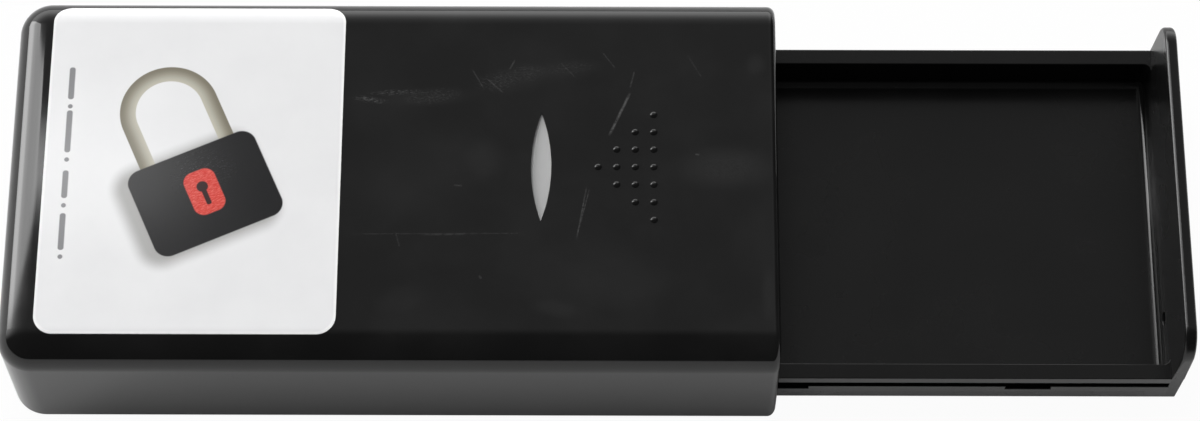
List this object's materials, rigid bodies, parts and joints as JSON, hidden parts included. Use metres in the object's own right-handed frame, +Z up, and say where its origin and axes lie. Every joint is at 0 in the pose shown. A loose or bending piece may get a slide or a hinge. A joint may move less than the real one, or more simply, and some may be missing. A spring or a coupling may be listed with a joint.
{
  "type": "magnetic key holder box",
  "caption": "Flat key box with magnets under it and a tray that slides out of its open end.",
  "frame": {"origin": "On the plane of the magnets' faces, under the middle of the box with its tray drawn out as pictured.", "axes": "+X along the box, from the closed end to the tray's end plate; +Y across the box; +Z up, away from the magnets."},
  "size_m": [0.1746, 0.0592, 0.0273],
  "materials": {
    "sleeve_plastic": "glossy black moulded plastic with scuffs and hairline scratches",
    "tray_plastic": "satin-gloss black moulded plastic",
    "label_card": null,
    "ferrite": "ground dark grey ferrite",
    "backing_steel": "zinc-plated steel sheet",
    "tape_foam": "double-sided foam tape"
  },
  "bodies": {
    "case": {"case_sleeve": "sleeve_plastic", "sleeve_label": "label_card", "front_magnet": "ferrite", "rear_magnet": "ferrite", "front_backing_plate": "backing_steel", "rear_backing_plate": "backing_steel", "front_bonding_tape": "tape_foam", "rear_bonding_tape": "tape_foam"},
    "tray": {"slide_tray": "tray_plastic"}
  },
  "joints": [
    {"name": "tray_slide", "type": "slide", "parent": "case", "child": "tray", "axis": [1, 0, 0], "range_m": [-0.0606, 0.0338]}
  ]
}
